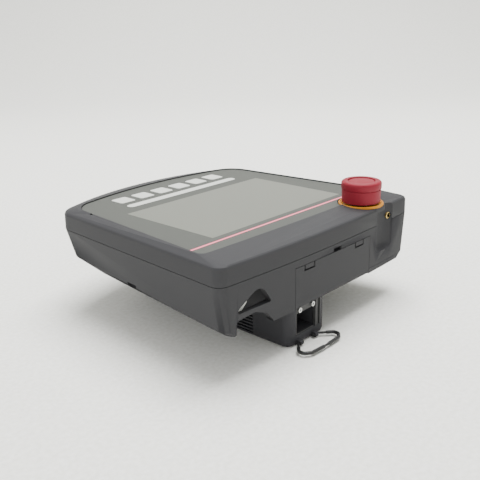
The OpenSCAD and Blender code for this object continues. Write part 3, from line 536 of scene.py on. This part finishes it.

# The bore is painted dark as shade inside it, and only the ring round it keeps the bright brass colour
BORE_SHADE_COLOUR = rgb(28, 24, 18)
brass_tree = FINISH["brass"].node_tree
brass_place = brass_tree.nodes.new("ShaderNodeTexCoord")
from_axis = brass_tree.nodes.new("ShaderNodeVectorMath")
from_axis.operation = "SUBTRACT"
from_axis.inputs[1].default_value = (BUSH_AXIS[0], 0, BUSH_AXIS[2])
brass_tree.links.new(brass_place.outputs["Object"], from_axis.inputs[0])
across = brass_tree.nodes.new("ShaderNodeVectorMath")
across.operation = "MULTIPLY"
across.inputs[1].default_value = (1, 0, 1)
brass_tree.links.new(from_axis.outputs["Vector"], across.inputs[0])
radius = brass_tree.nodes.new("ShaderNodeVectorMath")
radius.operation = "LENGTH"
brass_tree.links.new(across.outputs["Vector"], radius.inputs[0])
in_bore = math_node(brass_tree, "LESS_THAN", radius.outputs["Value"], (BUSH_R - 0.95) * MM)
# Painted shade: the base colour turns dark inside the bore's radius
bore_shaded = colour_mix(brass_tree, in_bore, BRASS_COLOUR, BORE_SHADE_COLOUR)
brass_tree.links.new(bore_shaded, brass_tree.nodes["Principled BSDF"].inputs["Base Color"])
print("bush radius:", round(BUSH_R, 2), "mm")

# %% [markdown]
# ## Screws
# The screws repeat, so one tree of Geometry Nodes makes a single screw and sets it on every point of a
# small mesh. The Turn input points them all into their seats. The head is a short drum with a socket, and
# Realize Instances and Set Material turn the result into plain geometry.

# %% Screw tree
SCREW_HEAD = 2.4 * MM


def named_input(group, name, kind, value):
    """Adds an input with a starting value to a node group."""
    group.interface.new_socket(name, in_out="INPUT", socket_type=kind).default_value = value


def screw_tree():
    group = bpy.data.node_groups.new("socket_screws", "GeometryNodeTree")
    group.interface.new_socket("Geometry", in_out="INPUT", socket_type="NodeSocketGeometry")
    for name, value in (("Head Radius", 2.8 * MM), ("Head Height", SCREW_HEAD), ("Shank Radius", 1.5 * MM),
                        ("Shank Length", 8 * MM), ("Socket Radius", 1.3 * MM)):
        named_input(group, name, "NodeSocketFloat", value)
    named_input(group, "Turn", "NodeSocketVector", (0.0, 0.0, 0.0))
    group.interface.new_socket("Material", in_out="INPUT", socket_type="NodeSocketMaterial")
    group.interface.new_socket("Geometry", in_out="OUTPUT", socket_type="NodeSocketGeometry")
    link = group.links.new
    node = group.nodes.new
    inside, outside = node("NodeGroupInput"), node("NodeGroupOutput")
    head = node("GeometryNodeMeshCylinder")
    head.inputs["Vertices"].default_value = 40
    link(inside.outputs["Head Radius"], head.inputs["Radius"])
    link(inside.outputs["Head Height"], head.inputs["Depth"])
    socket = node("GeometryNodeMeshCylinder")
    socket.inputs["Vertices"].default_value = 6
    link(inside.outputs["Socket Radius"], socket.inputs["Radius"])
    link(inside.outputs["Head Height"], socket.inputs["Depth"])
    sink = node("ShaderNodeCombineXYZ")
    link(math_node(group, "MULTIPLY", inside.outputs["Head Height"], -0.5), sink.inputs["Z"])
    lower = node("GeometryNodeTransform")
    link(socket.outputs["Mesh"], lower.inputs["Geometry"])
    link(sink.outputs["Vector"], lower.inputs["Translation"])
    cut = node("GeometryNodeMeshBoolean")
    cut.operation = "DIFFERENCE"
    link(head.outputs["Mesh"], cut.inputs["Mesh 1"])
    link(lower.outputs["Geometry"], cut.inputs["Mesh 2"])
    place_head = node("GeometryNodeTransform")
    link(cut.outputs["Mesh"], place_head.inputs["Geometry"])
    link(sink.outputs["Vector"], place_head.inputs["Translation"])
    shank = node("GeometryNodeMeshCylinder")
    shank.inputs["Vertices"].default_value = 24
    link(inside.outputs["Shank Radius"], shank.inputs["Radius"])
    link(inside.outputs["Shank Length"], shank.inputs["Depth"])
    lift = node("ShaderNodeCombineXYZ")
    link(math_node(group, "MULTIPLY", inside.outputs["Shank Length"], 0.5), lift.inputs["Z"])
    place_shank = node("GeometryNodeTransform")
    link(shank.outputs["Mesh"], place_shank.inputs["Geometry"])
    link(lift.outputs["Vector"], place_shank.inputs["Translation"])
    join = node("GeometryNodeJoinGeometry")
    link(place_head.outputs["Geometry"], join.inputs["Geometry"])
    link(place_shank.outputs["Geometry"], join.inputs["Geometry"])
    spread = node("GeometryNodeInstanceOnPoints")
    link(inside.outputs["Geometry"], spread.inputs["Points"])
    link(join.outputs["Geometry"], spread.inputs["Instance"])
    link(inside.outputs["Turn"], spread.inputs["Rotation"])
    real = node("GeometryNodeRealizeInstances")
    link(spread.outputs["Instances"], real.inputs["Geometry"])
    finish = node("GeometryNodeSetMaterial")
    link(real.outputs["Geometry"], finish.inputs["Geometry"])
    link(inside.outputs["Material"], finish.inputs["Material"])
    link(finish.outputs["Geometry"], outside.inputs["Geometry"])
    return group


SCREW_TREE = screw_tree()


FOLD_ANGLE = math.radians(35)


def run_tree(name, mesh, tree, values):
    """Runs a node tree on a mesh and returns the result as a plain object."""
    carrier = bpy.data.objects.new(name + "_carrier", mesh)
    bpy.context.scene.collection.objects.link(carrier)
    modifier = carrier.modifiers.new("nodes", "NODES")
    modifier.node_group = tree
    for item in tree.interface.items_tree:
        if item.in_out == "INPUT" and item.name in values:
            modifier[item.identifier] = values[item.name]
    bpy.context.view_layer.update()
    result = bpy.data.meshes.new_from_object(carrier.evaluated_get(bpy.context.evaluated_depsgraph_get()))
    bpy.data.objects.remove(carrier)
    result.name = name
    result.shade_smooth()
    result.set_sharp_from_angle(angle=FOLD_ANGLE)
    piece = bpy.data.objects.new(name, result)
    bpy.context.scene.collection.objects.link(piece)
    return piece


def islands(node):
    """The low and high corners of each loose solid of a CAD sub-part."""
    work = bmesh.new()
    work.from_mesh(frame["nodes"][node].data)
    bmesh.ops.remove_doubles(work, verts=work.verts, dist=MERGE_DISTANCE)
    left, found = set(work.verts), []
    while left:
        stack, members = [left.pop()], []
        while stack:
            vert = stack.pop()
            members.append(vert.co.copy())
            for edge in vert.link_edges:
                other = edge.other_vert(vert)
                if other in left:
                    left.remove(other)
                    stack.append(other)
        low = Vector([min(c[i] for c in members) for i in range(3)])
        high = Vector([max(c[i] for c in members) for i in range(3)])
        found.append((low, high))
    work.free()
    return sorted(found, key=lambda pair: tuple(round(v, 5) for v in pair[0]))


# %% Housing and pod screws
SHANK_GAP = 0.02 * MM
for node in ("housing_screws", "pod_screws"):
    spots = islands(node)
    seats = bpy.data.meshes.new(node + "_seats")
    seats.from_pydata([((a.x + b.x) / 2, (a.y + b.y) / 2, a.z + SCREW_HEAD) for a, b in spots], [], [])
    length = spots[0][1].z - spots[0][0].z - SCREW_HEAD
    screws = run_tree(node + "_turned", seats, SCREW_TREE,
                      {"Shank Length": length - SHANK_GAP, "Material": FINISH["steel"]})
    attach(screws, BODY_OF[node])
    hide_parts(node)
    print(node, len(spots))

# %% Bright screws in the cable bay
BAY_HEAD = 1.8 * MM
spots = islands("bay_screws")
seats = bpy.data.meshes.new("bay_seats")
seats.from_pydata([((a.x + b.x) / 2, a.y + BAY_HEAD, (a.z + b.z) / 2) for a, b in spots], [], [])
screws = run_tree("bay_screws_turned", seats, SCREW_TREE, {
    "Head Radius": 2.4 * MM, "Head Height": BAY_HEAD, "Socket Radius": 1.45 * MM,
    "Shank Length": 7.9 * MM, "Turn": (math.radians(-90), 0.0, 0.0), "Material": FINISH["steel"]})
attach(screws, BODY_OF["bay_screws"])
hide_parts("bay_screws")

# %% [markdown]
# ## Wire bail
# The bail is one bent wire. Its sides and its outer bar are thicker than its ends at the hinge, and the bar
# is thin again in its middle. A wire is a path with a round section, so Geometry Nodes round the path's
# corners and sweep a circle along it, with a radius that changes on the way.

# %% Bail tree
WIRE_R = 1.2 * MM
BAR_R = 1.75 * MM
THICKENING = 0.8 * MM
WAIST_THIN = 2.8 * MM
WAIST_FULL = 3.8 * MM


def bail_tree():
    group = bpy.data.node_groups.new("bent_wire", "GeometryNodeTree")
    group.interface.new_socket("Geometry", in_out="INPUT", socket_type="NodeSocketGeometry")
    named_input(group, "Bend Radius", "NodeSocketFloat", 2.5 * MM)
    named_input(group, "Wire Radius", "NodeSocketFloat", WIRE_R)
    named_input(group, "Bar Radius", "NodeSocketFloat", BAR_R)
    named_input(group, "Bar Start", "NodeSocketFloat", 0.0)
    named_input(group, "Middle", "NodeSocketFloat", 0.0)
    group.interface.new_socket("Material", in_out="INPUT", socket_type="NodeSocketMaterial")
    group.interface.new_socket("Geometry", in_out="OUTPUT", socket_type="NodeSocketGeometry")
    link = group.links.new
    node = group.nodes.new
    inside, outside = node("NodeGroupInput"), node("NodeGroupOutput")
    to_curve = node("GeometryNodeMeshToCurve")
    link(inside.outputs["Geometry"], to_curve.inputs["Mesh"])
    fillet = node("GeometryNodeFilletCurve")
    fillet.mode = "POLY"
    fillet.inputs["Count"].default_value = 8
    fillet.inputs["Limit Radius"].default_value = True
    link(to_curve.outputs["Curve"], fillet.inputs["Curve"])
    link(inside.outputs["Bend Radius"], fillet.inputs["Radius"])
    finer = node("GeometryNodeResampleCurve")
    finer.mode = "LENGTH"
    finer.inputs["Length"].default_value = 0.4 * MM
    link(fillet.outputs["Curve"], finer.inputs["Curve"])
    # Thick part: the points further out than Bar Start, with a short fade
    place = node("GeometryNodeInputPosition")
    axes = node("ShaderNodeSeparateXYZ")
    link(place.outputs["Position"], axes.inputs[0])
    beyond = math_node(group, "SUBTRACT", axes.outputs["Y"], inside.outputs["Bar Start"])
    reach = node("ShaderNodeMapRange")
    reach.inputs["From Min"].default_value = -THICKENING
    reach.inputs["From Max"].default_value = 0.0
    reach.inputs["To Min"].default_value = 1.0
    reach.inputs["To Max"].default_value = 0.0
    link(beyond, reach.inputs["Value"])
    # The bar is thin again for a few millimetres in its middle
    from_middle = math_node(group, "SUBTRACT", axes.outputs["X"], inside.outputs["Middle"])
    waist = node("ShaderNodeMapRange")
    waist.inputs["From Min"].default_value = WAIST_THIN
    waist.inputs["From Max"].default_value = WAIST_FULL
    link(math_node(group, "ABSOLUTE", from_middle), waist.inputs["Value"])
    thickness = math_node(group, "MULTIPLY", reach.outputs["Result"], waist.outputs["Result"])
    extra = math_node(group, "SUBTRACT", inside.outputs["Bar Radius"], inside.outputs["Wire Radius"])
    swell = math_node(group, "MULTIPLY_ADD", thickness, extra, inside.outputs["Wire Radius"])
    thick = node("GeometryNodeSetCurveRadius")
    link(finer.outputs["Curve"], thick.inputs["Curve"])
    link(swell, thick.inputs["Radius"])
    circle = node("GeometryNodeCurvePrimitiveCircle")
    circle.inputs["Resolution"].default_value = 20
    circle.inputs["Radius"].default_value = 1.0
    sweep_wire = node("GeometryNodeCurveToMesh")
    sweep_wire.inputs["Fill Caps"].default_value = True
    link(thick.outputs["Curve"], sweep_wire.inputs["Curve"])
    link(circle.outputs["Curve"], sweep_wire.inputs["Profile Curve"])
    if "Scale" in sweep_wire.inputs:
        radius = node("GeometryNodeInputRadius")
        link(radius.outputs["Radius"], sweep_wire.inputs["Scale"])
    real = node("GeometryNodeRealizeInstances")
    link(sweep_wire.outputs["Mesh"], real.inputs["Geometry"])
    finish = node("GeometryNodeSetMaterial")
    link(real.outputs["Geometry"], finish.inputs["Geometry"])
    link(inside.outputs["Material"], finish.inputs["Material"])
    link(finish.outputs["Geometry"], outside.inputs["Geometry"])
    return group


# %% Bent wire
low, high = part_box("wire_bail")
BAIL_MID = (low.x + high.x) / 2
THIN_ENDS = 5 * MM
SIDE_START, SIDE_END = 0.48, 0.74
bail_y, bail_z = high.y - WIRE_R, (low.z + high.z) / 2
bail_end = low.y + BAR_R
half_out = (high.x - low.x) / 2 - BAR_R
half_in = 15 * MM
half_path = [(half_in - 7 * MM, bail_y), (half_in, bail_y),
             (half_out, bail_y + (bail_end - bail_y) * SIDE_START),
             (half_out, bail_y + (bail_end - bail_y) * SIDE_END),
             (half_out - 6 * MM, bail_end + 0.9 * MM), (3.5 * MM, bail_end)]
wire_points = [(BAIL_MID - x, y, bail_z) for x, y in half_path]
wire_points += [(BAIL_MID + x, y, bail_z) for x, y in reversed(half_path)]
wire_mesh = bpy.data.meshes.new("bail_path")
wire_mesh.from_pydata(wire_points, [(i, i + 1) for i in range(len(wire_points) - 1)], [])
bail = run_tree("bent_wire_bail", wire_mesh, bail_tree(), {
    "Bar Start": bail_y - THIN_ENDS, "Middle": BAIL_MID, "Material": FINISH["wire_black"]})
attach(bail, BODY_OF["wire_bail"])
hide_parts("wire_bail")
print("bail faces:", len(bail.data.polygons))
